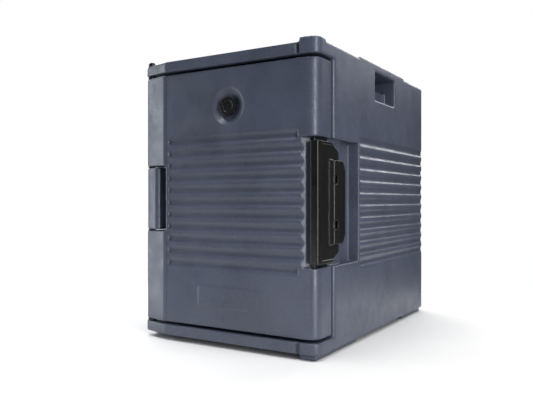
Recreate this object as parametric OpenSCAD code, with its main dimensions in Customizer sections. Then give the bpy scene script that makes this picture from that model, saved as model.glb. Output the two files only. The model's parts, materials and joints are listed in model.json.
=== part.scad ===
// Front-loading insulated food carrier: a foam-filled, double-wall moulded cabinet for six
// full-size food pans, with a side-hinged door that folds back 270 degrees, a vent in the
// door and an over-centre latch on the right side wall.
// Frame: origin on the floor under the middle of the carrier, +Z up, door on the -Y side,
// hinge on the -X side. Millimetres.

/* [Overall size] */
// Width across the roof and the base
carrier_w = 450; // [445:1:460]
// Depth from the front of the roof to the back wall
carrier_d = 660; // [655:1:680]
// Height over the raised roof rails
carrier_h = 625; // [620:1:640]

/* [Cabinet] */
// Thickness of the moulded skin
skin_t = 4; // [3:0.5:5]
// Thickness of the right wall
right_wall_t = 42; // [40:1:46]
// Inside width of the pan bay
bay_w = 336; // [334:1:338]
// How far the left wall sits inside the roof edge, so the open door folds into it
fold_recess = 37; // [37:1:38]
// Thickness of the back wall
back_wall_t = 40; // [38:1:44]
// Height of the feet
foot_h = 11; // [10:1:12]

/* [Door] */
// Thickness of the door leaf
door_t = 67; // [64:1:68]
// Gap between the door and the cabinet rim, filled by the gasket
seal_gap = 4; // [3:0.5:5]
// Height of one corrugation on the door and walls
rib_pitch = 26.5; // [24:0.5:27]
// Number of corrugations
rib_count = 11; // [5:2:11]

/* [Pan runners] */
// Number of pan levels
runner_count = 6; // [4:1:6]
// Height from one pan level to the next
runner_pitch = 80; // [76:1:80]

/* [Latch] */
// Height of the latch claw
claw_h = 240; // [220:5:240]
// Height of the latch lever
lever_h = 170; // [160:5:170]

/* [Hidden] */
$fn = 48;

// Small clearances
foam_gap = 0.2;      // foam to skin
running = 0.05;      // radial clearance of a turning pin
slip = 0.02;         // radial clearance of a pressed or screwed piece
eps = 1;             // overrun of a cut past a face

// Outer planes of the carrier
half_w = carrier_w / 2;
half_d = carrier_d / 2;
front_y = -half_d;

// Levels, from the floor up
base_z = foot_h;             // underside of the base
sill_z = 34;                 // top of the sill under the door
rail_z = carrier_h;          // raised rails over the hand grips
roof_z = rail_z - 9;         // top of the roof at the front
deck_z = roof_z - 1;         // deck that the feet of the next carrier stand on
brow_z = roof_z - 23;        // underside of the roof over the door
lip_z = roof_z + 4;          // lips along the sides
door_gap = 5.5;              // above and below the door
door_z0 = sill_z + door_gap;
door_z1 = brow_z - door_gap;
mid_z = (door_z0 + door_z1) / 2;
band_z = mid_z - 8;          // middle of the corrugations and the latch

// Cabinet walls
edge_r = 20;                 // vertical outer corners
hinge_corner_r = 12;         // and the one at the hinge
rim_r = 8;                   // vertical edges of the front rim
wall_x0 = -half_w + fold_recess;
wall_x1 = half_w;
bay_x1 = half_w - right_wall_t;
bay_x0 = bay_x1 - bay_w;
bay_z0 = 62;
bay_z1 = 563;
bay_r = 18;

// Door
face_y = front_y + 4;        // front face of the door leaf
back_y = face_y + door_t;    // inner face of the door leaf
rim_y = back_y + seal_gap;   // front rim of the cabinet
bay_y1 = half_d - back_wall_t;
door_x0 = -half_w + 4;
door_x1 = half_w - 4;
door_r = 24;
stile_r = 8;                 // left edge of the hinge stile
stile_x = -156;              // right edge of the hinge stile
plug_gap = 6;                // clearance of the door plug in the opening
plug_t = 14;
plug_y = back_y + plug_t;    // inner face of the door plug

// The hinge stile and the roof and base in line with it lean back towards the left
lean_y = front_y + 16.4;
lean_slope = 15 / 65;
lean_a = 270 - atan(lean_slope); // direction that they face
function lean(x, e = 0) = lean_y - lean_slope * (x + half_w) + e * norm([1, lean_slope]);

// Hinge
hinge_x = -half_w + 14;
hinge_y = front_y + 22;
rod_r = 4;
rod_bore_r = 4.6;            // clear way for the rod between its bushes
bush_r = 6;
bush_len = 16;
tube_r = 9;
notch_h = 145;
notch_z0 = mid_z - notch_h / 2;
notch_z1 = mid_z + notch_h / 2;
bush_flange_r = 8.5;
bush_play = 0.1;             // between a bush flange and what it turns against
lug_r = 9;
lug_gap = 2.5;               // above and below the lug, filled by the bush flanges
lug_w = 24;                  // run of its flat front
knob_r = 8;
knob_h = 6.5;
knob_dome = 2.5;
clip_r = 5.6;
clip_t = 1.5;
clip_recess_r = 6.2;         // recess in the base that hides the clip and the rod's end
clip_recess_d = 4;
rod_z0 = base_z + 0.5;
rod_z1 = roof_z + 6;

// Corrugations
groove_d = 5;
groove_r = 12;
rib_zs = [for (i = [0:rib_count - 1]) band_z + (i - (rib_count - 1) / 2) * rib_pitch];

// Corner blocks of the roof and base, set off by shallow grooves
block_w = 40;
block_groove_w = 8;
block_groove_d = 6;
block_groove_x = half_w - block_w - block_groove_w / 2;

// Feet, each as [x0, x1, y0, y1]; the front left one leaves room for a rod knob below
foot_w = 34;
foot_in = 9;
front_foot_y1 = front_y + 205;
rear_foot_y0 = front_y + 501;
feet = [
    [half_w - foot_in - foot_w, half_w - foot_in, front_y + foot_in, front_foot_y1],
    [-half_w + foot_in, -half_w + foot_in + foot_w, front_y + 44, front_foot_y1],
    [half_w - foot_in - foot_w, half_w - foot_in, rear_foot_y0, half_d - foot_in],
    [-half_w + foot_in, -half_w + foot_in + foot_w, rear_foot_y0, half_d - foot_in]];

// Lips and rails of the roof; the rails stand between the feet of the next carrier
lip_t = 8;
lip_gap = 42;                // drain gap in the lip at the middle of the back
rail_w = 30;
rail_y0 = front_foot_y1 + 6;
rail_y1 = rear_foot_y0 - 6;

// Hand grips near the top of the side walls
grip_y = 30;
grip_len = 130;
grip_z0 = 541;
grip_z1 = 606;
grip_d = 28;
grip_hold_z0 = 575;          // above this the right grip runs deeper, for the fingertips
grip_hold_d = 60;
left_grip_d = 14;

// Pan runners
runner_d = 14;
runner_h = 12;
runner_z0 = 136;
runner_y0 = rim_y + 20;

// Blank raised panel low on the door
plate_w = 150;
plate_h = 44;
plate_z = 104;
plate_t = 1;

// Latch recess, shared by the door edge and the right wall
latch_h = 256;
latch_z0 = band_z - latch_h / 2;
latch_z1 = band_z + latch_h / 2;
ledge_x = half_w - 14;       // floor of the shelf the latch stands on
pocket_x = half_w - 26;      // floor of the finger pocket
pocket_y0 = front_y + 133;
pocket_y1 = front_y + 201;
catch_y = front_y + 17;      // floor of the recess in the door face
catch_wall = 21;             // run of its sloping left wall
catch_x = half_w - 24;
keeper_t = 3;

// Latch
pivot_x = half_w - 7;        // lever pivot
pivot_y = front_y + 84;
claw_pivot_x = pivot_x - 1.5; // just past centre, so the closed latch holds itself
claw_pivot_y = pivot_y + 16;
plate_x0 = half_w - 6.5;
plate_x1 = half_w - 1.5;
pivot_r = 2.5;
eye_r = 5;
lever_z0 = band_z - lever_h / 2;
lever_z1 = band_z + lever_h / 2;
claw_z0 = band_z - claw_h / 2;
claw_z1 = band_z + claw_h / 2;
lug_z = 38;                  // height of the base lugs above and below the middle
lug_len = 16;
base_plate_t = 3;
claw_pin_r = 2;
claw_x0 = catch_x + 5;
claw_y0 = front_y + 6;
claw_leg_t = 9;
claw_arm_y = pivot_y - 8;    // where the claw's blade ends and its ears begin
claw_channel_y0 = front_y + 24;
claw_channel_y1 = front_y + 58;
claw_channel_d = 2.4;
claw_knuckle = 16;
lever_knuckle = 26;

// Vent
vent_x = 12;
vent_z = 506;
dish_r = 42;                 // at the front, 1 mm off the door face
dish_floor_r = 24;
dish_y = face_y + 12;
sleeve_r = 16;
sleeve_bore_r = 11.5;
sleeve_flange_r = 19;
vent_flange_t = 1.5;         // also the thickness of the seal on it
vent_nut_t = 3;
vent_nut_r = 22;
cap_r = 20;
cap_t = 6.5;
cap_dish_r = 12.5;
cap_dish_d = 1.4;
cap_stem_len = 26;
cap_bore_r = 7;

// Gasket
gasket_w = 10;
gasket_bead_w = 7;
gasket_groove = 6;
gasket_off = 8;              // gasket middle line outside the opening

// Fill ports for the foam
port_r = 12;
port_d = 14;
fill_plug_len = 9;
port_xs = [-90, 120];
port_z = 110;
door_port_x = bay_x1 - 60;
door_port_zs = [190, 430];

// Screws
screw_r = 2;
head_r = 4;
insert_r = 4;
insert_len = 10;
insert_hole = insert_len + 0.5;
boss_r = 8;
boss_len = insert_len + 4;
base_screw_at = [for (y = [pivot_y + 20, pivot_y + 37], z = [-26, 26]) [y, band_z + z]];
keeper_screw_at = [for (i = [-1.5:1:1.5]) [face_y + 36, band_z + i * 60]];

// ---------- helpers ----------

function arc(cx, cy, r, a0, a1, n = 6) =
    [for (i = [0:n]) let (a = a0 + (a1 - a0) * i / n) [cx + r * cos(a), cy + r * sin(a)]];

// Outline of a block with its own radius at the front and back corners
function block_outline(x0, x1, y0, y1, rf, rb) = concat(
    arc(x0 + rf, y0 + rf, rf, 180, 270),
    arc(x1 - rf, y0 + rf, rf, 270, 360),
    arc(x1 - rb, y1 - rb, rb, 0, 90),
    arc(x0 + rb, y1 - rb, rb, 90, 180));

module box(x0, x1, y0, y1, z0, z1) {
    translate([x0, y0, z0]) cube([x1 - x0, y1 - y0, z1 - z0]);
}

// Prism between two levels over the 2D shape given as a child
module prism(z0, z1) {
    translate([0, 0, z0]) linear_extrude(z1 - z0) children();
}

module post(x, y, r, z0, z1) {
    translate([x, y, z0]) cylinder(r = r, h = z1 - z0);
}

module bar_x(y, z, r, x0, x1) {
    translate([x0, y, z]) rotate([0, 90, 0]) cylinder(r = r, h = x1 - x0);
}

module bar_y(x, z, r, y0, y1) {
    translate([x, y0, z]) rotate([-90, 0, 0]) cylinder(r = r, h = y1 - y0);
}

module cone_y(x, z, r0, r1, y0, y1) {
    translate([x, y0, z]) rotate([-90, 0, 0]) cylinder(r1 = r0, r2 = r1, h = y1 - y0);
}

// Rectangle with rounded corners in the XZ plane, pushed along Y
module panel_y(x0, x1, z0, z1, r, y0, y1) {
    translate([0, y1, 0]) rotate([90, 0, 0]) linear_extrude(y1 - y0)
        polygon(block_outline(x0, x1, z0, z1, r, r));
}

// Plate between two X planes over the 2D shape (y, z) given as a child
module panel_x(x0, x1) {
    translate([x0, 0, 0]) rotate([90, 0, 90]) linear_extrude(x1 - x0) children();
}

// ---------- cabinet ----------

// Outline of the roof and of the base, inset by e
module slab_outline(e) {
    y0 = front_y + e;
    r = hinge_corner_r;
    polygon(concat(
        arc(-half_w + r, lean(-half_w + r, r), r - e, 180, lean_a),
        [[-half_w + (lean_y + e * norm([1, lean_slope]) - y0) / lean_slope, y0]],
        arc(half_w - edge_r, front_y + edge_r, edge_r - e, 270, 360),
        arc(half_w - edge_r, half_d - edge_r, edge_r - e, 0, 90),
        arc(-half_w + edge_r, half_d - edge_r, edge_r - e, 90, 180)));
}

module latch_pocket(e) {
    prism(latch_z0 - e, latch_z1 + e)
        polygon([[half_w + eps, rim_y - eps - e], [ledge_x - e, rim_y - eps - e],
                 [ledge_x - e, pocket_y0 - e], [pocket_x - e, pocket_y0 - e],
                 [pocket_x - e, pocket_y1 - 4 + e], [half_w, pocket_y1 + e],
                 [half_w + eps, pocket_y1 + e]]);
}

module hand_grips(e) {
    y0 = grip_y - grip_len / 2 - e;
    y1 = grip_y + grip_len / 2 + e;
    box(half_w - grip_d - e, half_w + eps, y0, y1, grip_z0 - e, grip_z1 + e);
    box(half_w - grip_hold_d - e, half_w, y0, y1, grip_hold_z0 - e, grip_z1 + e);
    box(-half_w - eps, wall_x0 + left_grip_d + e, y0, y1, grip_z0 - e, brow_z + e);
}

// Corrugations of the side and back walls, which run out where the back corners turn away
module wall_grooves(e) {
    r = groove_r + e;
    off = groove_r - groove_d;
    for (z = rib_zs) {
        bar_y(wall_x1 + off, z, r, pocket_y1 + 6, half_d + eps);
        bar_y(wall_x0 - off, z, r, rim_y + 30, half_d + eps);
        bar_x(half_d + off, z, r, wall_x0 - eps, wall_x1 + eps);
    }
}

// The solid outside shape of the cabinet, inset by e; its openings grow by e
module cabinet_envelope(e) {
    difference() {
        union() {
            prism(base_z + e, deck_z - e)
                polygon(block_outline(wall_x0 + e, wall_x1 - e, rim_y + e, half_d - e,
                                      rim_r - e / 2, edge_r - e));
            prism(brow_z + e, deck_z - e) slab_outline(e);
            prism(base_z + e, sill_z - e) slab_outline(e);
            for (f = feet)
                box(f[0] + e, f[1] - e, f[2] + e, f[3] - e, e, base_z + e + eps);
        }
        latch_pocket(e);
        hand_grips(e);
        wall_grooves(e);
        // grooves that set off the corner blocks
        for (x = [-block_groove_x, block_groove_x],
             z = [[base_z - eps, sill_z + e], [brow_z - e, deck_z + eps]])
            box(x - block_groove_w / 2 - e, x + block_groove_w / 2 + e,
                front_y - eps, front_y + block_groove_d + e, z[0], z[1]);
    }
}

// The pan bay, grown by e
module pan_bay(e) {
    panel_y(bay_x0 - e, bay_x1 + e, bay_z0 - e, bay_z1 + e, bay_r, rim_y - eps, bay_y1 + e);
}

module runners() {
    for (i = [0:runner_count - 1]) {
        z = runner_z0 + i * runner_pitch;
        box(bay_x0 - eps, bay_x0 + runner_d, runner_y0, bay_y1 + eps, z - runner_h, z);
        box(bay_x1 - runner_d, bay_x1 + eps, runner_y0, bay_y1 + eps, z - runner_h, z);
    }
}

// Solid lips and rails that locate the feet of the next carrier
module roof_lips() {
    difference() {
        prism(deck_z - eps, lip_z) slab_outline(0);
        prism(deck_z - 2 * eps, lip_z + eps)
            polygon(block_outline(-half_w + lip_t, half_w - lip_t, front_y + lip_t,
                                  half_d - lip_t, edge_r - lip_t, edge_r - lip_t));
        // the lip is lower along the front, and open at the middle of the back
        box(-half_w + block_w, half_w - block_w, front_y - eps, front_y + 30, roof_z, lip_z + eps);
        box(-lip_gap / 2, lip_gap / 2, half_d - 30, half_d + eps, deck_z, lip_z + eps);
        // and ends behind the rod knob
        box(-half_w - eps, -half_w + block_w + eps, front_y - eps, front_y + block_w,
            roof_z, lip_z + eps);
    }
    for (x = [-half_w, half_w - rail_w])
        box(x, x + rail_w, rail_y0, rail_y1, deck_z - eps, rail_z);
    // taller lug round the front right corner
    prism(deck_z - eps, rail_z) difference() {
        intersection() {
            slab_outline(0);
            translate([half_w - block_w, front_y]) square([block_w, block_w]);
        }
        polygon(block_outline(-half_w, half_w - lip_t, front_y + lip_t, half_d, 1,
                              edge_r - lip_t));
    }
    // seat of the rod knob
    prism(deck_z - eps, roof_z) intersection() {
        slab_outline(0);
        translate([-half_w, front_y]) square([block_w, block_w]);
    }
}

// The knuckle that carries the hinge rod at mid height: its front lies in line with the
// stile and its root ends inside the skin
module hinge_lug() {
    x1 = hinge_x + lug_w * cos(lean_a + 90);
    y1 = hinge_y + lug_w * sin(lean_a + 90);
    prism(notch_z0 + lug_gap, notch_z1 - lug_gap)
        polygon(concat(
            arc(hinge_x, hinge_y, lug_r, 152, lean_a),
            arc(x1, y1, lug_r, lean_a, 360),
            [[wall_x0 + 16, rim_y + 2], [wall_x0 + 7, rim_y + 2],
             [wall_x0 + 2, rim_y + 7], [wall_x0 + 1, rim_y + 12]]));
}

// Solid bosses behind the threaded inserts of the latch base
module base_bosses(grow) {
    for (p = base_screw_at)
        bar_x(p[0], p[1], boss_r + grow, ledge_x - boss_len, ledge_x - eps);
}

// Solid way for the rod through the base and the roof
module rod_tubes(grow) {
    post(hinge_x, hinge_y, tube_r + grow, base_z + eps, sill_z - eps);
    post(hinge_x, hinge_y, tube_r + grow, brow_z + eps, deck_z - eps);
}

module cabinet_skin() {
    color("dimgray") difference() {
        union() {
            difference() {
                cabinet_envelope(0);
                pan_bay(0);
                difference() {
                    cabinet_envelope(skin_t);
                    pan_bay(skin_t);
                    base_bosses(0);
                    rod_tubes(0);
                }
            }
            runners();
            roof_lips();
            hinge_lug();
        }
        post(hinge_x, hinge_y, rod_r + running, -eps, carrier_h + eps);
        post(hinge_x, hinge_y, clip_recess_r, -eps, base_z + clip_recess_d);
        for (p = base_screw_at)
            bar_x(p[0], p[1], insert_r + slip, ledge_x - insert_hole, ledge_x + eps);
        for (x = port_xs)
            bar_y(x, port_z, port_r, half_d - skin_t - eps, half_d + eps);
    }
}

module cabinet_foam() {
    e = skin_t + foam_gap;
    color("khaki") difference() {
        cabinet_envelope(e);
        pan_bay(e);
        base_bosses(foam_gap);
        rod_tubes(foam_gap);
        for (x = port_xs)
            bar_y(x, port_z, port_r, half_d - port_d, half_d + eps);
    }
}

// Push-in plug whose head lies flush with the face at y
module fill_plug(x, z, y) {
    bar_y(x, z, port_r - slip, y - fill_plug_len, y);
}

module cabinet_fill_plugs() {
    color("black") for (x = port_xs) fill_plug(x, port_z, half_d);
}

// ---------- door ----------

// The solid outside shape of the door, inset by e
module door_envelope(e) {
    difference() {
        union() {
            prism(door_z0 + e, door_z1 - e)
                polygon(concat(
                    arc(door_x0 + stile_r, lean(door_x0 + stile_r, stile_r), stile_r - e,
                        180, lean_a),
                    [[stile_x - e, lean(stile_x - e, e)], [stile_x - e, face_y + e]],
                    arc(door_x1 - door_r, face_y + door_r, door_r - e, 270, 360),
                    [[door_x1 - e, back_y - e], [door_x0 + e, back_y - e]]));
            panel_y(bay_x0 + plug_gap + e, bay_x1 - plug_gap - e, bay_z0 + plug_gap + e,
                    bay_z1 - plug_gap - e, bay_r, back_y - e - eps, plug_y - e);
        }
        door_cuts(e);
    }
}

module door_cuts(e) {
    // corrugations; those beside the latch run out through the wall of its recess
    for (z = rib_zs) {
        x1 = abs(z - band_z) < latch_h / 2 ? catch_x + 5 : catch_x - catch_wall;
        bar_x(face_y - groove_r + groove_d, z, groove_r + e, stile_x + 8, x1);
    }
    // vent dish
    cone_y(vent_x, vent_z, dish_r + e, dish_floor_r + e, face_y - 1, dish_y + e);
    // latch recess round the right edge, with a sloping left wall
    y0 = front_y - eps;
    prism(latch_z0 - e, latch_z1 + e)
        polygon([[catch_x - catch_wall - e, y0], [catch_x - e, catch_y + keeper_t + e],
                 [ledge_x - keeper_t - e, catch_y + keeper_t + e],
                 [ledge_x - keeper_t - e, back_y + eps],
                 [half_w, back_y + eps], [half_w, y0]]);
    // notch for the cabinet's hinge lug, wider in front so the door can fold right back
    box(-half_w, stile_x + e, y0, hinge_y + 12 + e, notch_z0 - e, notch_z1 + e);
    box(-half_w, stile_x - 16 + e, y0, back_y + eps, notch_z0 - e, notch_z1 + e);
}

module keeper_bosses(grow) {
    for (p = keeper_screw_at)
        bar_x(p[0], p[1], boss_r + grow, ledge_x - keeper_t - boss_len,
              ledge_x - keeper_t - eps);
}

// Solid way for the rod through the stile
module stile_tubes(grow) {
    post(hinge_x, hinge_y, tube_r + grow, door_z0 + eps, notch_z0 - eps);
    post(hinge_x, hinge_y, tube_r + grow, notch_z1 + eps, door_z1 - eps);
}

// Frame round the opening at the gasket, w wide
module gasket_frame(w, y0, y1) {
    o = gasket_off + w / 2;
    i = gasket_off - w / 2;
    difference() {
        panel_y(bay_x0 - o, bay_x1 + o, bay_z0 - o, bay_z1 + o, bay_r + w / 2, y0, y1);
        panel_y(bay_x0 - i, bay_x1 + i, bay_z0 - i, bay_z1 + i, bay_r - w / 2, y0 - eps, y1 + eps);
    }
}

module door_skin() {
    color("slategray") difference() {
        union() {
            difference() {
                door_envelope(0);
                difference() {
                    door_envelope(skin_t);
                    keeper_bosses(0);
                    stile_tubes(0);
                    gasket_frame(gasket_w + 2 * skin_t, back_y - gasket_groove - skin_t, back_y);
                }
            }
            // blank raised panel
            panel_y(vent_x - plate_w / 2, vent_x + plate_w / 2, plate_z - plate_h / 2,
                    plate_z + plate_h / 2, 8, face_y - plate_t, face_y + eps);
        }
        gasket_frame(gasket_w, back_y - gasket_groove, back_y + eps);
        post(hinge_x, hinge_y, rod_bore_r, door_z0 - eps, door_z1 + eps);
        // each bush is pushed in from an open end
        for (z = [door_z0, notch_z1])
            post(hinge_x, hinge_y, bush_r, z - eps, z + bush_len);
        for (z = [notch_z0, door_z1])
            post(hinge_x, hinge_y, bush_r, z - bush_len, z + eps);
        bar_y(vent_x, vent_z, sleeve_r + slip, dish_y - eps, plug_y + eps);
        for (p = keeper_screw_at)
            bar_x(p[0], p[1], insert_r + slip, ledge_x - keeper_t - insert_hole, ledge_x);
        for (z = door_port_zs)
            bar_y(door_port_x, z, port_r, plug_y - skin_t - eps, plug_y + eps);
    }
}

module door_foam() {
    e = skin_t + foam_gap;
    color("khaki") difference() {
        door_envelope(e);
        keeper_bosses(foam_gap);
        stile_tubes(foam_gap);
        gasket_frame(gasket_w + 2 * e, back_y - gasket_groove - e, back_y);
        bar_y(vent_x, vent_z, sleeve_r + 0.5, face_y, plug_y + eps);
        for (z = door_port_zs)
            bar_y(door_port_x, z, port_r, plug_y - port_d, plug_y + eps);
    }
}

module door_fill_plugs() {
    color("black") for (z = door_port_zs) fill_plug(door_port_x, z, plug_y);
}

module door_gasket() {
    color("black") union() {
        gasket_frame(gasket_w - 0.2, back_y - gasket_groove, back_y);
        gasket_frame(gasket_bead_w, back_y - eps, rim_y - foam_gap);
    }
}

// ---------- vent ----------

module vent_sleeve() {
    color("gray") difference() {
        union() {
            bar_y(vent_x, vent_z, sleeve_r, dish_y - eps, plug_y + vent_nut_t);
            bar_y(vent_x, vent_z, sleeve_flange_r, dish_y - vent_flange_t, dish_y);
        }
        bar_y(vent_x, vent_z, sleeve_bore_r, dish_y - vent_flange_t - eps,
              plug_y + vent_nut_t + eps);
    }
}

module vent_nut() {
    color("gray") difference() {
        translate([vent_x, plug_y, vent_z]) rotate([-90, 0, 0])
            cylinder(r = vent_nut_r, h = vent_nut_t, $fn = 6);
        bar_y(vent_x, vent_z, sleeve_r + slip, plug_y - eps, plug_y + vent_nut_t + eps);
    }
}

module vent_seal() {
    y = dish_y - vent_flange_t;
    color("darkslategray") difference() {
        bar_y(vent_x, vent_z, sleeve_flange_r - 1, y - vent_flange_t, y);
        bar_y(vent_x, vent_z, sleeve_bore_r + foam_gap, y - vent_flange_t - eps, y + eps);
    }
}

module vent_cap() {
    y = dish_y - 2 * vent_flange_t;
    color("black") difference() {
        union() {
            bar_y(vent_x, vent_z, cap_r, y - cap_t, y);
            bar_y(vent_x, vent_z, sleeve_bore_r - 0.1, y - eps, y + cap_stem_len);
        }
        // finger notches round the head, and its dished middle
        for (a = [0:30:330])
            bar_y(vent_x + (cap_r + 1) * cos(a), vent_z + (cap_r + 1) * sin(a), 2.5,
                  y - cap_t - eps, y - 2);
        bar_y(vent_x, vent_z, cap_dish_r, y - cap_t - eps, y - cap_t + cap_dish_d);
        // vent way up the stem
        bar_y(vent_x, vent_z, cap_bore_r, y - eps, y + cap_stem_len + eps);
    }
}

// ---------- hinge ----------

module hinge_rod() {
    color("silver") post(hinge_x, hinge_y, rod_r, rod_z0, rod_z1);
}

module hinge_rod_knob() {
    color("black") difference() {
        union() {
            post(hinge_x, hinge_y, knob_r, roof_z, roof_z + knob_h);
            translate([hinge_x, hinge_y, roof_z + knob_h])
                cylinder(r1 = knob_r, r2 = knob_r - knob_dome, h = knob_dome);
        }
        post(hinge_x, hinge_y, rod_r + slip, roof_z - eps, rod_z1);
    }
}

module hinge_rod_clip() {
    z1 = base_z + clip_recess_d;
    color("silver") difference() {
        post(hinge_x, hinge_y, clip_r, z1 - clip_t, z1);
        post(hinge_x, hinge_y, rod_r + slip, z1 - clip_t - eps, z1 + eps);
    }
}

// A bush from z_in inside the stile to z_end at its open end, with a flange t thick outside
module flanged_bush(z_in, z_end, t) {
    z_out = z_end + sign(z_end - z_in) * t;
    difference() {
        union() {
            post(hinge_x, hinge_y, bush_r - slip, min(z_in, z_end), max(z_in, z_end));
            post(hinge_x, hinge_y, bush_flange_r, min(z_end, z_out), max(z_end, z_out));
        }
        post(hinge_x, hinge_y, rod_r + running, min(z_in, z_out) - eps, max(z_in, z_out) + eps);
    }
}

module hinge_bushes() {
    color("black") {
        flanged_bush(door_z0 + bush_len, door_z0, door_gap - bush_play);
        flanged_bush(notch_z0 - bush_len, notch_z0, lug_gap - bush_play);
        flanged_bush(notch_z1 + bush_len, notch_z1, lug_gap - bush_play);
        flanged_bush(door_z1 - bush_len, door_z1, door_gap - bush_play);
    }
}

// ---------- latch ----------

module latch_base() {
    x1 = ledge_x + base_plate_t;
    half_h = lug_z + lug_len;
    color("black") difference() {
        union() {
            box(ledge_x, x1, pivot_y + eye_r + 1.5, pocket_y0 - 2, band_z - half_h, band_z + half_h);
            for (z = [band_z - half_h, band_z + lug_z]) {
                post(pivot_x, pivot_y, eye_r + 0.5, z, z + lug_len);
                box(ledge_x, pivot_x, pivot_y, pivot_y + 12, z, z + lug_len);
            }
        }
        post(pivot_x, pivot_y, pivot_r + running, 0, carrier_h);
        for (p = base_screw_at)
            bar_x(p[0], p[1], screw_r + 0.3, ledge_x - eps, x1 + eps);
    }
}

module inserts(points, x1) {
    for (p = points) difference() {
        bar_x(p[0], p[1], insert_r, x1 - insert_len, x1);
        bar_x(p[0], p[1], screw_r + slip, x1 - insert_len - eps, x1 + eps);
    }
}

// Screws that enter along -X with their heads seated at x
module screws(points, x, head_h, len) {
    for (p = points) difference() {
        union() {
            bar_x(p[0], p[1], head_r - 0.1, x, x + head_h);
            bar_x(p[0], p[1], screw_r, x - len, x + eps);
        }
        // hexagon socket
        translate([x + head_h - 1.2, p[0], p[1]]) rotate([0, 90, 0])
            cylinder(r = 1.6, h = 2, $fn = 6);
    }
}

module latch_base_inserts() {
    color("goldenrod") inserts(base_screw_at, ledge_x - slip);
}

module latch_base_screws() {
    color("silver") screws(base_screw_at, ledge_x + base_plate_t, 2.4, 12);
}

module latch_lever() {
    color("black") difference() {
        union() {
            box(plate_x0, plate_x1, pivot_y - 3, pocket_y0, lever_z0, lever_z1);
            // rolled finger edge
            post(plate_x0 + 0.5, pocket_y0, 3, lever_z0, lever_z1);
            post(pivot_x, pivot_y, eye_r + 0.5, lever_z0, lever_z1);
            // knuckles of the claw pins
            for (z = [lever_z0, lever_z1 - lever_knuckle]) {
                post(claw_pivot_x, claw_pivot_y, eye_r, z, z + lever_knuckle);
                box(claw_pivot_x, plate_x1, claw_pivot_y - eye_r, claw_pivot_y + eye_r,
                    z, z + lever_knuckle);
            }
        }
        post(pivot_x, pivot_y, pivot_r + running, 0, carrier_h);
        post(claw_pivot_x, claw_pivot_y, claw_pin_r + slip, 0, carrier_h);
        // windows for the base lugs
        for (z = [band_z - lug_z - lug_len, band_z + lug_z])
            box(ledge_x, half_w, pivot_y - 10, pivot_y + 13, z - 0.6, z + lug_len + 0.6);
        // shallow finger channels on the outside
        for (y = [pivot_y + 24, pivot_y + 35])
            box(plate_x1 - 1, half_w, y, y + 5, lever_z0 + 20, lever_z1 - 20);
        // sloped corners at the finger edge
        for (s = [-1, 1])
            panel_x(ledge_x, half_w + eps)
                polygon([[pocket_y0 - 14, band_z + s * (lever_h / 2 + eps)],
                         [pocket_y0 + 5, band_z + s * (lever_h / 2 + eps)],
                         [pocket_y0 + 5, band_z + s * (lever_h / 2 - 24)]]);
    }
}

module lever_pin() {
    color("silver")
        post(pivot_x, pivot_y, pivot_r, band_z - lug_z - lug_len, band_z + lug_z + lug_len);
}

module latch_claw() {
    r = 5;
    color("black") difference() {
        union() {
            prism(claw_z0, claw_z1) polygon(concat(
                [[claw_x0, claw_y0 + claw_leg_t], [claw_x0, claw_y0 + 1.5],
                 [claw_x0 + 1.5, claw_y0]],
                arc(plate_x1 - r, claw_y0 + r, r, 270, 360),
                [[plate_x1, claw_arm_y], [plate_x0, claw_arm_y],
                 [plate_x0, claw_y0 + claw_leg_t]]));
            for (z = [[claw_z0, lever_z0 - 0.5], [lever_z1 + 0.5, claw_z1]])
                box(plate_x0, plate_x1, claw_arm_y - eps, claw_pivot_y + eye_r, z[0], z[1]);
            for (z = [lever_z0 - 0.5 - claw_knuckle, lever_z1 + 0.5]) {
                post(claw_pivot_x, claw_pivot_y, eye_r, z, z + claw_knuckle);
                box(claw_pivot_x, plate_x1, claw_pivot_y - eye_r, claw_pivot_y + eye_r,
                    z, z + claw_knuckle);
            }
        }
        post(claw_pivot_x, claw_pivot_y, claw_pin_r + running, lever_z0 - 17, lever_z1 + 17);
        // the ears taper down to their pins
        for (s = [-1, 1])
            panel_x(ledge_x, half_w + eps)
                polygon([[claw_arm_y - 10, band_z + s * (claw_h / 2 + eps)],
                         [claw_pivot_y + 6, band_z + s * (claw_h / 2 + eps)],
                         [claw_pivot_y + 6, band_z + s * (lever_h / 2 + 17)]]);
        // wide channel down the outside, running out over the ears
        x0 = plate_x1 - claw_channel_d;
        box(x0, half_w, claw_channel_y0, claw_channel_y1, claw_z0 + 6, claw_z1 - 6);
        for (z = [[claw_z0 + 6, lever_z0], [lever_z1, claw_z1 - 6]])
            box(x0, half_w, claw_channel_y1 - eps, claw_pivot_y + eye_r + eps, z[0], z[1]);
    }
}

module claw_pins() {
    color("silver") for (z = [lever_z0 - 14, lever_z1 - 24])
        post(claw_pivot_x, claw_pivot_y, claw_pin_r, z, z + 38);
}

module latch_keeper() {
    z0 = latch_z0 + 1;
    z1 = latch_z1 - 1;
    color("black") difference() {
        prism(z0, z1)
            polygon([[catch_x + 1, catch_y], [ledge_x - 1.5, catch_y], [ledge_x, catch_y + 1.5],
                     [ledge_x, back_y], [ledge_x - keeper_t, back_y],
                     [ledge_x - keeper_t, catch_y + keeper_t], [catch_x + 1, catch_y + keeper_t]]);
        for (p = keeper_screw_at) {
            bar_x(p[0], p[1], screw_r + 0.3, ledge_x - keeper_t - eps, ledge_x + eps);
            bar_x(p[0], p[1], head_r + 0.2, ledge_x - 2, ledge_x + eps);
        }
    }
}

module keeper_inserts() {
    color("goldenrod") inserts(keeper_screw_at, ledge_x - keeper_t - slip);
}

module keeper_screws() {
    color("silver") screws(keeper_screw_at, ledge_x - 2, 1.9, 10);
}

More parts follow.
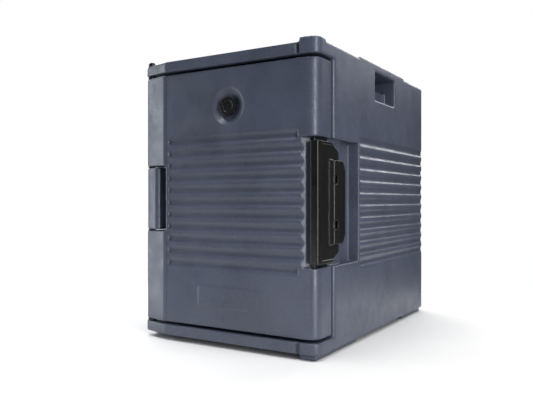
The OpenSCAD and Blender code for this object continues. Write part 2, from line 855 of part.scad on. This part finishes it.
cabinet_skin();
cabinet_foam();
cabinet_fill_plugs();
door_skin();
door_foam();
door_fill_plugs();
door_gasket();
vent_sleeve();
vent_nut();
vent_seal();
vent_cap();
hinge_rod();
hinge_rod_knob();
hinge_rod_clip();
hinge_bushes();
latch_base();
latch_base_inserts();
latch_base_screws();
latch_lever();
lever_pin();
latch_claw();
claw_pins();
latch_keeper();
keeper_inserts();
keeper_screws();
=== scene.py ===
"""Looks of the insulated food carrier: softly moulded shells, latch, seal and hardware round the
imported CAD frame, on a plain pale floor. Metres, in the frame's own axes: door at -Y, +Z up."""

import json
import math

import bmesh
import bpy
import numpy as np
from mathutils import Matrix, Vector

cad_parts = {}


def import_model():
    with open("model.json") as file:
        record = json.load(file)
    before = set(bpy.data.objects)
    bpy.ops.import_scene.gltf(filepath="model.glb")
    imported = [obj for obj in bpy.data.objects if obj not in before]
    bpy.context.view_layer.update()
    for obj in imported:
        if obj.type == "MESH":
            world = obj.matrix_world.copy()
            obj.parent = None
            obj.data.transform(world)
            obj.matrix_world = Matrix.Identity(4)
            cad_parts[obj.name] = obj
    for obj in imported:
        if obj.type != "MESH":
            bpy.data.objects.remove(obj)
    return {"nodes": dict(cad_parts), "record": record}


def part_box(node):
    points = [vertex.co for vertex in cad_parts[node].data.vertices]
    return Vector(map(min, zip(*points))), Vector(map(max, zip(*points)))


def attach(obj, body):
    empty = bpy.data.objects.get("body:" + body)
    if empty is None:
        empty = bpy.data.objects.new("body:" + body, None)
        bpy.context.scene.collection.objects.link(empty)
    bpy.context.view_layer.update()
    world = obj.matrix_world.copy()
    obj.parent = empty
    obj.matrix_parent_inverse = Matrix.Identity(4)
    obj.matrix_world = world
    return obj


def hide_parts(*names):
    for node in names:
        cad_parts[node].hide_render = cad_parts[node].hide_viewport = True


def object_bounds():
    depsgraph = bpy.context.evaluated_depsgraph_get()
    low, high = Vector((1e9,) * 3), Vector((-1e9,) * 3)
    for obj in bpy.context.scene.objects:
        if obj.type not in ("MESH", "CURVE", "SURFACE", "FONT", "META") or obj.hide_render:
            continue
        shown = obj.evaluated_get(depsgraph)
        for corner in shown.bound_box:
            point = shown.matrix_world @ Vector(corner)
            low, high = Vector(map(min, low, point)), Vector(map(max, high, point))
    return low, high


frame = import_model()
cad_lo, cad_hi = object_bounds()
scene = bpy.context.scene
MM = 0.001
SAME_POINT = 1e-6

# the record's material slot and body of each CAD node
SLOTS = {part["node"]: part["material_slot"] for part in frame["record"]["subparts"]}
BODIES = {node: body for body, nodes in frame["record"]["behaviour"]["bodies"].items()
          for node in nodes}


# ---------------------------------------------------------------- mesh tools


def link(name, data):
    """Puts a new object over a mesh, light or camera into the scene."""
    thing = bpy.data.objects.new(name, data)
    scene.collection.objects.link(thing)
    return thing


def joined_mesh(name, nodes):
    """One mesh holding copies of several CAD nodes."""
    build = bmesh.new()
    for node in nodes:
        build.from_mesh(frame["nodes"][node].data)
    bmesh.ops.remove_doubles(build, verts=build.verts, dist=SAME_POINT)
    mesh = bpy.data.meshes.new(name)
    build.to_mesh(mesh)
    build.free()
    return mesh


def with_modifier(piece, kind, **settings):
    """Runs one modifier on a piece and keeps its result as the piece's mesh."""
    modifier = piece.modifiers.new(kind, kind)
    for key, value in settings.items():
        setattr(modifier, key, value)
    graph = bpy.context.evaluated_depsgraph_get()
    mesh = bpy.data.meshes.new_from_object(piece.evaluated_get(graph), depsgraph=graph)
    piece.modifiers.clear()
    old = piece.data
    piece.data = mesh
    bpy.data.meshes.remove(old)


def keep_largest_island(piece):
    """Drops the closed cavities that the remesh leaves between a skin and its core."""
    bpy.ops.object.select_all(action="DESELECT")
    piece.select_set(True)
    bpy.context.view_layer.objects.active = piece
    bpy.ops.object.mode_set(mode="EDIT")
    bpy.ops.mesh.separate(type="LOOSE")
    bpy.ops.object.mode_set(mode="OBJECT")
    parts = sorted(bpy.context.selected_objects, key=lambda o: -len(o.data.vertices))
    keep = parts[0].data
    for extra in parts:
        if extra is piece:
            continue
        if extra.data is keep:
            bpy.data.objects.remove(extra)
        else:
            bpy.data.meshes.remove(extra.data)
    piece.data = keep


def soften(piece, rounds):
    """Rounds every edge by averaging neighbours, and stores how far each point gave way:
    positive on outside edges, negative in inside corners."""
    mesh = piece.data
    count = len(mesh.vertices)
    points = np.empty(count * 3, np.float32)
    mesh.vertices.foreach_get("co", points)
    points = points.reshape(-1, 3).astype(np.float64)
    edges = np.empty(len(mesh.edges) * 2, np.int32)
    mesh.edges.foreach_get("vertices", edges)
    a, b = edges.reshape(-1, 2).T
    degree = np.bincount(a, minlength=count) + np.bincount(b, minlength=count)
    start = points.copy()
    for _ in range(rounds):
        for axis in range(3):
            along = points[:, axis]
            total = np.bincount(a, along[b], count) + np.bincount(b, along[a], count)
            points[:, axis] = 0.5 * along + 0.5 * total / degree
    mesh.vertices.foreach_set("co", points.astype(np.float32).ravel())
    mesh.update()
    normals = np.empty(count * 3, np.float32)
    mesh.vertex_normals.foreach_get("vector", normals)
    give = ((start - points) * normals.reshape(-1, 3)).sum(1)
    edge = mesh.attributes.new("edge", "FLOAT", "POINT")
    edge.data.foreach_set("value", (give / MM).astype(np.float32))


def stand_in(piece, node):
    """Shows a piece in the place of a CAD node, on the node's body."""
    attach(piece, BODIES[node])
    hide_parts(node)


def moulded(name, nodes, voxel, rounds, triangles):
    """A soft-edged solid skin over CAD nodes, as it comes out of a mould."""
    coarse = 1.0
    piece = link(name, joined_mesh(name, nodes))
    with_modifier(piece, "REMESH", mode="VOXEL", voxel_size=voxel * coarse * MM)
    keep_largest_island(piece)
    soften(piece, rounds)
    # the remesh makes quads
    made = 2 * len(piece.data.polygons)
    if made > triangles:
        with_modifier(piece, "DECIMATE", ratio=triangles / made)
    polygons = piece.data.polygons
    polygons.foreach_set("use_smooth", [True] * len(polygons))
    stand_in(piece, nodes[0])
    return piece


def frame_path(x0, x1, z0, z1, corner_r):
    """Points round a frame with rounded corners in the XZ plane, each with its outward way."""
    path = []
    for cx, cz, start in ((x1 - corner_r, z1 - corner_r, 0), (x0 + corner_r, z1 - corner_r, 90),
                          (x0 + corner_r, z0 + corner_r, 180), (x1 - corner_r, z0 + corner_r, 270)):
        for i in range(CORNER_STEPS + 1):
            angle = math.radians(start + 90 * i / CORNER_STEPS)
            out = Vector((math.cos(angle), 0, math.sin(angle)))
            path.append((Vector((cx, 0, cz)) + out * corner_r, out))
    return path


def bulb_profile(y0, y1):
    """Section of the seal as (outward, along Y): a chamfered foot in the groove from y0, and on
    it a round bead that reaches y1."""
    half = GASKET_W / 2
    bead = BEAD_W / 2
    face = y1 - BEAD_H
    foot = [(half - FOOT_CHAMFER, y0), (half, y0 + FOOT_CHAMFER), (half, face - 1.2 * MM),
            (half - 0.6 * MM, face - 0.2 * MM), (bead - 0.3 * MM, face)]
    dome = [(bead * math.cos(math.radians(t)), face + BEAD_H * math.sin(math.radians(t)))
            for t in range(10, 180, 10)]
    return foot + dome + [(-u, y) for u, y in reversed(foot)]


def bulb_seal(name, node):
    """A soft bulb profile swept round the frame of a CAD gasket."""
    lo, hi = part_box(node)
    half = GASKET_W / 2
    path = frame_path(lo[0] + half, hi[0] - half, lo[2] + half, hi[2] - half, GASKET_CORNER_R)
    profile = bulb_profile(lo[1], hi[1])
    build = bmesh.new()
    rings = [[build.verts.new(centre + out * u + Vector((0, y, 0))) for u, y in profile]
             for centre, out in path]
    for ring, following in zip(rings, rings[1:] + rings[:1]):
        for i in range(len(profile)):
            j = (i + 1) % len(profile)
            build.faces.new((ring[i], ring[j], following[j], following[i]))
    bmesh.ops.recalc_face_normals(build, faces=build.faces)
    for face in build.faces:
        face.smooth = True
    mesh = bpy.data.meshes.new(name)
    build.to_mesh(mesh)
    build.free()
    piece = link(name, mesh)
    stand_in(piece, node)
    return piece


# ---------------------------------------------------------------- materials


class Surface:
    """A procedural material built up node by node in object space."""

    def __init__(self, name):
        self.material = bpy.data.materials.new(name)
        self.material.use_nodes = True
        self.tree = self.material.node_tree
        self.shader = self.tree.nodes["Principled BSDF"]
        self.place = self.add("ShaderNodeTexCoord").outputs["Object"]

    def add(self, kind, inputs=None, **settings):
        node = self.tree.nodes.new(kind)
        for key, value in settings.items():
            setattr(node, key, value)
        for key, value in (inputs or {}).items():
            self.feed(node.inputs[key], value)
        return node

    def feed(self, socket, value):
        if isinstance(value, bpy.types.NodeSocket):
            self.tree.links.new(value, socket)
        else:
            socket.default_value = value

    def noise(self, scale, detail=3.0, rough=0.55, stretch=None):
        place = self.place
        if stretch:
            place = self.add("ShaderNodeMapping", {"Vector": place, "Scale": stretch}).outputs[0]
        inputs = {"Vector": place, "Scale": scale, "Detail": detail, "Roughness": rough}
        return self.add("ShaderNodeTexNoise", inputs).outputs["Fac"]

    def ramp(self, value, low, high, start=0.0, end=1.0):
        """Maps value from [low, high] to [start, end], clamped."""
        inputs = {"Value": value, "From Min": low, "From Max": high, "To Min": start, "To Max": end}
        return self.add("ShaderNodeMapRange", inputs, interpolation_type="SMOOTHSTEP").outputs[0]

    def math(self, operation, a, b):
        return self.add("ShaderNodeMath", {0: a, 1: b}, operation=operation).outputs[0]

    def mix(self, factor, a, b):
        node = self.add("ShaderNodeMix", data_type="RGBA")
        self.feed(node.inputs["Factor"], factor)
        self.feed(node.inputs[6], a)
        self.feed(node.inputs[7], b)
        return node.outputs[2]

    def attribute(self, name):
        return self.add("ShaderNodeAttribute", attribute_name=name).outputs["Fac"]

    def bump(self, height, strength, distance, below=None):
        inputs = {"Height": height, "Strength": strength, "Distance": distance}
        if below is not None:
            inputs["Normal"] = below
        return self.add("ShaderNodeBump", inputs).outputs[0]

    def finish(self, colour, roughness, normal=None, metallic=0.0):
        self.feed(self.shader.inputs["Base Color"], colour)
        self.feed(self.shader.inputs["Roughness"], roughness)
        self.feed(self.shader.inputs["Metallic"], metallic)
        if normal is not None:
            self.feed(self.shader.inputs["Normal"], normal)
        return self.material


def rgb(red, green, blue):
    """A linear colour from 0-255 screen values."""
    def linear(value):
        value /= 255
        return value / 12.92 if value <= 0.04045 else ((value + 0.055) / 1.055) ** 2.4
    return (linear(red), linear(green), linear(blue), 1.0)


def grey(level):
    return (level, level, level, 1.0)


def moulded_plastic(name, base, worn, cloud_and_shade, roughness):
    """Rotomoulded polyethylene: orange-peel skin, cloudy pigment, rubbed edges, and painted shade
    that darkens the inside corners.
    The attribute edge holds millimetres that softening took off (+) or filled in (-)."""
    s = Surface(name)
    edge = s.attribute("edge")
    # pigment
    cloud = s.ramp(s.noise(9.0, 4.0), 0.35, 0.7)
    fleck = s.ramp(s.noise(420.0, 2.0), 0.45, 0.75)
    # the dark colour serves both the pigment clouds and the painted shade in the hollows
    colour = s.mix(s.math("MULTIPLY", cloud, 0.35), base, cloud_and_shade)
    colour = s.mix(s.math("MULTIPLY", fleck, 0.12), colour, worn)
    # wear on the edges, painted shade in the hollows, and scratches
    scuff = s.ramp(s.noise(55.0, 5.0, 0.65, (1.0, 1.0, 0.35)), 0.5, 0.68)
    patchy = s.math("ADD", s.math("MULTIPLY", scuff, 0.6), 0.22)
    rubbed = s.math("MULTIPLY", s.ramp(edge, 0.25, 1.5), patchy)
    colour = s.mix(rubbed, colour, worn)
    # painted shade: inside corners and hollows that the softening filled in are darkened toward the
    # dark colour, in place of occlusion
    painted_hollow_shade = s.math("MULTIPLY", s.ramp(edge, -0.03, -0.32), 0.5)
    colour = s.mix(painted_hollow_shade, colour, cloud_and_shade)
    scratch = s.ramp(s.noise(38.0, 6.0, 0.7, (1.0, 1.0, 9.0)), 0.64, 0.72)
    colour = s.mix(s.math("MULTIPLY", scratch, 0.16), colour, worn)
    sheen = s.ramp(s.noise(26.0, 4.0), 0.3, 0.7, roughness - 0.05, roughness + 0.08)
    rough = s.math("ADD", sheen, s.math("MULTIPLY", scratch, 0.1))
    # grain, orange peel and the slow waves of a moulded wall
    skin = s.bump(s.noise(900.0, 2.0), 0.22, 0.0006)
    skin = s.bump(s.noise(150.0, 2.0), 0.10, 0.002, skin)
    skin = s.bump(s.noise(14.0, 2.0), 0.05, 0.012, skin)
    return s.finish(colour, rough, skin)


def hard_plastic(name, base, worn, roughness):
    """Injection-moulded nylon or acetal with a fine spark-eroded texture."""
    s = Surface(name)
    edge = s.attribute("edge")
    scuff = s.ramp(s.noise(90.0, 5.0, 0.65), 0.45, 0.7)
    patchy = s.math("ADD", s.math("MULTIPLY", scuff, 0.4), 0.15)
    rubbed = s.math("MULTIPLY", s.ramp(edge, 0.10, 0.6), patchy)
    speck = s.math("MULTIPLY", s.ramp(s.noise(300.0, 3.0), 0.4, 0.7), 0.05)
    colour = s.mix(rubbed, s.mix(speck, base, worn), worn)
    rough = s.ramp(s.noise(60.0, 4.0), 0.3, 0.7, roughness - 0.03, roughness + 0.05)
    return s.finish(colour, rough, s.bump(s.noise(700.0, 2.0), 0.25, 0.0003))


def rubber(name, base, dust):
    """Matt rubber with a pale bloom."""
    s = Surface(name)
    bloom = s.math("MULTIPLY", s.ramp(s.noise(40.0, 5.0), 0.4, 0.75), 0.35)
    return s.finish(s.mix(bloom, base, dust), s.ramp(s.noise(120.0), 0.3, 0.7, 0.62, 0.82),
                    s.bump(s.noise(1100.0, 2.0), 0.3, 0.0003))


def metal(name, base, stain, roughness, stretch):
    """Drawn or turned metal, with its grain along one axis."""
    s = Surface(name)
    grain = s.noise(900.0, 3.0, 0.6, stretch)
    colour = s.mix(s.math("MULTIPLY", s.ramp(s.noise(70.0, 4.0), 0.45, 0.8), 0.35), base, stain)
    rough = s.ramp(grain, 0.25, 0.75, roughness - 0.07, roughness + 0.12)
    return s.finish(colour, rough, s.bump(grain, 0.15, 0.0002), 1.0)


def foam_core(name, base, cell):
    """Cut rigid foam with open cells."""
    s = Surface(name)
    cells = s.add("ShaderNodeTexVoronoi", {"Vector": s.place, "Scale": 500.0}).outputs["Distance"]
    colour = s.mix(s.ramp(cells, 0.1, 0.6), cell, s.mix(s.ramp(s.noise(20.0), 0.3, 0.7), base, cell))
    return s.finish(colour, 0.9, s.bump(cells, 0.6, 0.001))


MATERIALS = {
    "shell_plastic": moulded_plastic("slate_polyethylene", rgb(72, 78, 95), rgb(138, 149, 168),
                                     rgb(46, 50, 60), 0.33),
    "black_nylon": hard_plastic("black_nylon", rgb(7, 7, 8), rgb(66, 66, 68), 0.30),
    "grey_nylon": hard_plastic("grey_nylon", rgb(96, 98, 102), rgb(150, 152, 156), 0.45),
    "gasket_rubber": rubber("gasket_rubber", rgb(34, 34, 36), rgb(86, 86, 88)),
    "seal_rubber": rubber("seal_rubber", rgb(44, 44, 47), rgb(92, 92, 94)),
    "stainless": metal("stainless_steel", (0.56, 0.56, 0.57, 1), (0.36, 0.35, 0.34, 1), 0.30,
                       (1, 1, 0.03)),
    "brass": metal("turned_brass", (0.72, 0.52, 0.22, 1), (0.42, 0.28, 0.12, 1), 0.32, (0.05, 1, 1)),
    "foam": foam_core("polyurethane_foam", rgb(214, 190, 132), rgb(168, 140, 86)),
}


def dress(piece, node):
    """Gives a piece the material of a CAD node's slot."""
    piece.data.materials.clear()
    piece.data.materials.append(MATERIALS[SLOTS[node]])


def eased(piece, width):
    """Machined pieces keep their CAD mesh; only their sharp edges are broken."""
    piece.modifiers.new("weld", "WELD").merge_threshold = SAME_POINT
    bevel = piece.modifiers.new("bevel", "BEVEL")
    bevel.width = width
    bevel.segments = 2
    bevel.limit_method = "ANGLE"
    bevel.angle_limit = math.radians(SHARP)


# ---------------------------------------------------------------- pieces

# the seal: its foot in the groove, the bead on it and the corners of its frame
GASKET_W = 9.8 * MM
FOOT_CHAMFER = 0.5 * MM
BEAD_W = 7 * MM
BEAD_H = 3.8 * MM
GASKET_CORNER_R = 18 * MM
CORNER_STEPS = 10

# how far the sharp edges of a CAD node are broken, and from how many degrees an edge is sharp
SHARP = 35
BEVEL_W = 0.25 * MM
BEVELS = {"hinge_rod": 0.8 * MM, "cabinet_foam": 0, "door_foam": 0}

# piece: (CAD nodes, the first of which it stands for; voxel mm; rounds of softening; triangles)
MOULDED = {
    "cabinet_shell": (["cabinet_skin", "cabinet_foam"], 2.0, 3, 190000),
    "door_shell": (["door_skin", "door_foam"], 1.7, 5, 190000),
    "latch_claw_body": (["latch_claw"], 0.7, 5, 60000),
    "latch_lever_body": (["latch_lever"], 0.7, 5, 50000),
    "latch_keeper_strip": (["latch_keeper"], 0.7, 3, 40000),
    "latch_base_bracket": (["latch_base"], 0.7, 3, 40000),
    "vent_cap_body": (["vent_cap"], 0.5, 4, 40000),
    "vent_sleeve_body": (["vent_sleeve"], 0.6, 3, 30000),
    "rod_knob": (["hinge_rod_knob"], 0.35, 4, 16000),
}

for name, (nodes, voxel, rounds, triangles) in MOULDED.items():
    dress(moulded(name, nodes, voxel, rounds, triangles), nodes[0])

dress(bulb_seal("gasket_bulb", "door_gasket"), "door_gasket")

stood_for = {nodes[0] for nodes, *_ in MOULDED.values()} | {"door_gasket"}
for node, piece in frame["nodes"].items():
    if node not in stood_for:
        eased(piece, BEVELS.get(node, BEVEL_W))
        dress(piece, node)


# ---------------------------------------------------------------- stage

FLOOR_HALF = 6.0                # half the side of the floor
FLOOR_BELOW = 0.5 * MM          # so that the feet don't share its plane
FADE_FROM, FADE_TO = 0.35, 1.1  # distances over which the floor fades into the backdrop

# the low light: its place from the foot of the front, its aim and its size
BOUNCE_PLACE = Vector((0.05, -0.55, 0.03))
BOUNCE_AIM = Vector((0, 0.55, 0.20))
BOUNCE_W, BOUNCE_H = 0.7, 0.3

# the camera, level: its place, degrees to the left of looking along +Y, and its lens in mm
EYE = (0.746, -1.361, 0.310)
EYE_TURN = 31.6
LENS = 41


def floor():
    """A pale floor that fades into the white backdrop away from the carrier."""
    build = bmesh.new()
    bmesh.ops.create_grid(build, x_segments=2, y_segments=2, size=FLOOR_HALF)
    mesh = bpy.data.meshes.new("floor")
    build.to_mesh(mesh)
    build.free()
    piece = link("floor", mesh)
    piece.location.z = cad_lo.z - FLOOR_BELOW
    s = Surface("pale_floor")
    tone = s.ramp(s.noise(2.0), 0.3, 0.7)
    s.finish(s.mix(tone, grey(0.80), grey(0.84)), 0.85)
    reach = s.add("ShaderNodeVectorMath", {0: s.place}, operation="LENGTH").outputs["Value"]
    clear = s.add("ShaderNodeBsdfTransparent").outputs[0]
    gone = s.ramp(reach, FADE_FROM, FADE_TO)
    fade = s.add("ShaderNodeMixShader", {0: gone, 1: s.shader.outputs[0], 2: clear})
    s.tree.links.new(fade.outputs[0], s.tree.nodes["Material Output"].inputs["Surface"])
    mesh.materials.append(s.material)


def soft_box(name, place, aim, width, height, power, tint=(1, 1, 1)):
    """A rectangular light at a place, shining along aim, that the camera doesn't see."""
    data = bpy.data.lights.new(name, "AREA")
    data.shape = "RECTANGLE"
    data.size = width
    data.size_y = height
    data.energy = power
    data.color = tint
    light = link(name, data)
    light.location = place
    light.rotation_euler = aim.to_track_quat("-Z", "Y").to_euler()
    light.visible_camera = False


def lamp(name, azimuth, elevation, distance, width, height, power, tint=(1, 1, 1)):
    """A soft box aimed at the middle of the carrier."""
    turn = math.radians(azimuth)
    rise = math.radians(elevation)
    back = Vector((math.sin(turn) * math.cos(rise), -math.cos(turn) * math.cos(rise),
                   math.sin(rise)))
    soft_box(name, (cad_lo + cad_hi) / 2 + back * distance, -back, width, height, power, tint)


def low_bounce(power):
    """Light thrown back from the floor on the lower half of the door."""
    place = Vector((0, cad_lo.y, cad_lo.z)) + BOUNCE_PLACE
    soft_box("low_bounce", place, BOUNCE_AIM, BOUNCE_W, BOUNCE_H, power)


def world(backdrop, ambient):
    """White where the camera looks past the carrier, dimmer as a source of light."""
    scene.world = bpy.data.worlds.new("studio")
    scene.world.use_nodes = True
    tree = scene.world.node_tree
    background = tree.nodes["Background"]
    background.inputs["Color"].default_value = (1, 1, 1, 1)
    ray = tree.nodes.new("ShaderNodeLightPath")
    level = tree.nodes.new("ShaderNodeMapRange")
    level.inputs["To Min"].default_value = ambient
    level.inputs["To Max"].default_value = backdrop
    tree.links.new(ray.outputs["Is Camera Ray"], level.inputs["Value"])
    tree.links.new(level.outputs[0], background.inputs["Strength"])


def camera():
    """In front of the carrier and to its right, level, as the photograph was taken."""
    data = bpy.data.cameras.new("camera")
    data.lens = LENS
    eye = link("camera", data)
    eye.location = EYE
    eye.rotation_euler = (math.radians(90), 0, math.radians(EYE_TURN))
    scene.camera = eye


floor()
world(1.0, 0.09)
# name, azimuth, elevation, distance, width, height, watts, tint
lamp("window_left", -60, 0, 2.4, 0.60, 1.9, 22, (0.88, 0.94, 1.0))
lamp("key_right", 80, 46, 2.4, 1.2, 1.2, 19)
lamp("edge_right", 62, 4, 2.4, 0.42, 1.8, 36)
lamp("top", 10, 70, 2.2, 1.5, 1.0, 34)
lamp("fill_left", -100, 34, 2.6, 1.4, 1.4, 32)
lamp("back_left", -140, 32, 2.8, 1.6, 1.4, 34)
lamp("back_right", 178, 32, 2.8, 1.6, 1.4, 34)
low_bounce(0.7)
camera()
scene.view_settings.view_transform = "Standard"
